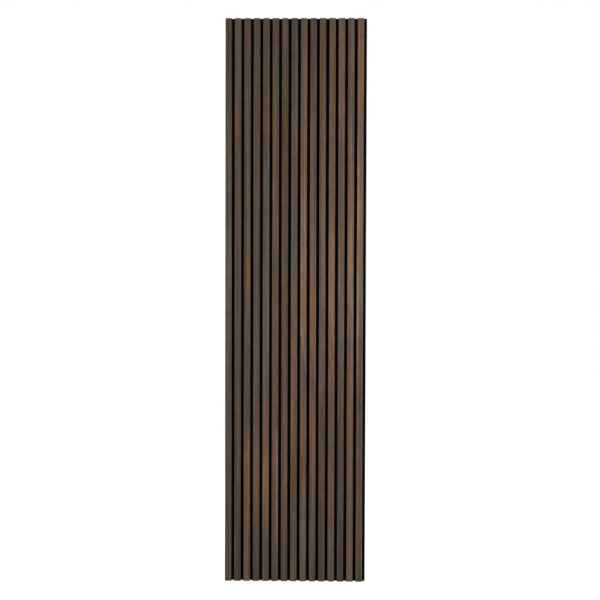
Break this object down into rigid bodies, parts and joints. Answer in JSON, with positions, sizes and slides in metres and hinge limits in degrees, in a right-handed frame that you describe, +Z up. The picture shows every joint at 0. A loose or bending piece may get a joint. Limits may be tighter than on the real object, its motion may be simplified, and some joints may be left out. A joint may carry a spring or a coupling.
{
  "type": "acoustic slat wall panel",
  "caption": "Tall wall panel: upright wood-veneered slats stapled side by side to a black felt board that absorbs sound, with a bare felt strip along one edge.",
  "frame": {"origin": "centre of the panel's flat back face, which lies on the wall", "axes": "+Z up along the slats, +Y out of the back into the wall, the slats face -Y, and +X to the right as seen from the front, towards the bare felt strip"},
  "size_m": [0.6, 0.021, 2.4],
  "materials": {
    "felt": "matte",
    "fibreboard": "matte",
    "veneer": "satin",
    "staple_wire": "satin"
  },
  "bodies": {
    "root": {"felt_backing": "felt", "slat_01_core": "fibreboard", "slat_02_core": "fibreboard", "slat_03_core": "fibreboard", "slat_04_core": "fibreboard", "slat_05_core": "fibreboard", "slat_06_core": "fibreboard", "slat_07_core": "fibreboard", "slat_08_core": "fibreboard", "slat_09_core": "fibreboard", "slat_10_core": "fibreboard", "slat_11_core": "fibreboard", "slat_12_core": "fibreboard", "slat_13_core": "fibreboard", "slat_14_core": "fibreboard", "slat_15_core": "fibreboard", "slat_01_veneer": "veneer", "slat_02_veneer": "veneer", "slat_03_veneer": "veneer", "slat_04_veneer": "veneer", "slat_05_veneer": "veneer", "slat_06_veneer": "veneer", "slat_07_veneer": "veneer", "slat_08_veneer": "veneer", "slat_09_veneer": "veneer", "slat_10_veneer": "veneer", "slat_11_veneer": "veneer", "slat_12_veneer": "veneer", "slat_13_veneer": "veneer", "slat_14_veneer": "veneer", "slat_15_veneer": "veneer", "staples": "staple_wire"}
  },
  "joints": []
}
